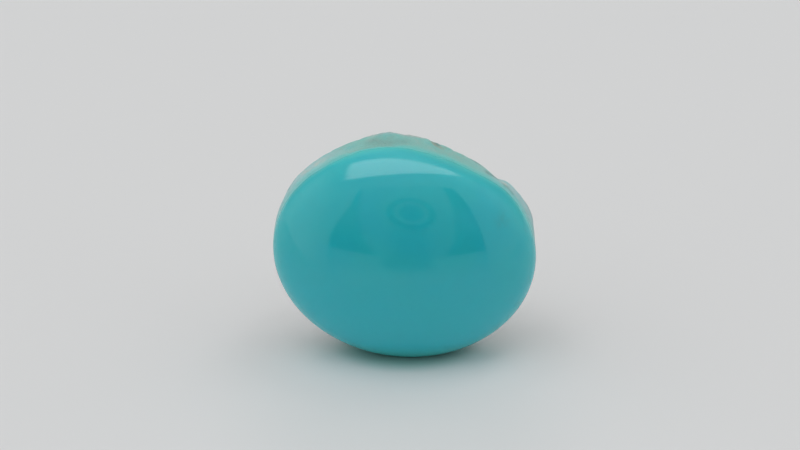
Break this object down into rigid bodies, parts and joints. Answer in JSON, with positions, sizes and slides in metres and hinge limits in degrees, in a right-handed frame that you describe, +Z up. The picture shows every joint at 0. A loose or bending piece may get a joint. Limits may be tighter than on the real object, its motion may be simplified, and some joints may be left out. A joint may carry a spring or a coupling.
{
  "type": "polished turquoise nugget",
  "caption": "Rounded turquoise nugget with a low oval dome polished on one side and rough rind on the back, standing on a small flat.",
  "frame": {"origin": "middle of the bounding box's underside, on the surface that the stone stands on", "axes": "+Z up, +X along the outline's long way, +Y from the polished dome to the rough back"},
  "size_m": [0.0262, 0.0144, 0.0226],
  "materials": {
    "turquoise": "blue-green turquoise, glossy polish on the dome, matt pale grey-green rind with tan and brown iron stains on the back"
  },
  "bodies": {
    "root": {"nugget": "turquoise"}
  },
  "joints": []
}
